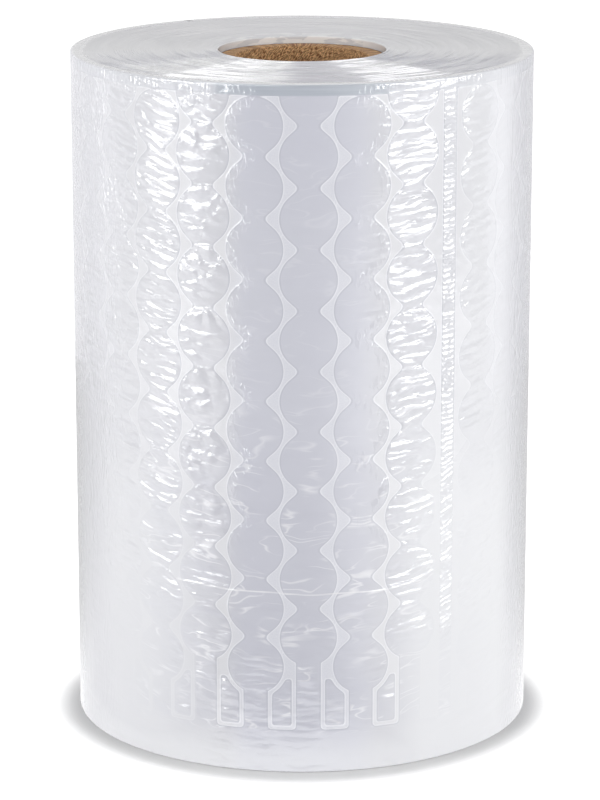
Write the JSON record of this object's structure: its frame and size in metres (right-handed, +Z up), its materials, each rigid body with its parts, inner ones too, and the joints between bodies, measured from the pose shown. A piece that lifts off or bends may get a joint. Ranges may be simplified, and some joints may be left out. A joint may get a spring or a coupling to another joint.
{
  "type": "cushioning film roll",
  "caption": "Tight roll of flat two-ply cushioning film with sealed round cells, wound on a paperboard core and standing on its end.",
  "frame": {"origin": "middle of the roll's foot, on the surface it stands on", "axes": "+Z up along the roll's axis; the front of the roll, as pictured, faces -Y"},
  "size_m": [0.265, 0.265, 0.39],
  "materials": {
    "core_board": "matt brown board",
    "film": "glossy clear film, milky in the roll"
  },
  "bodies": {
    "root": {"core": "core_board", "film_roll": "film"}
  },
  "joints": []
}
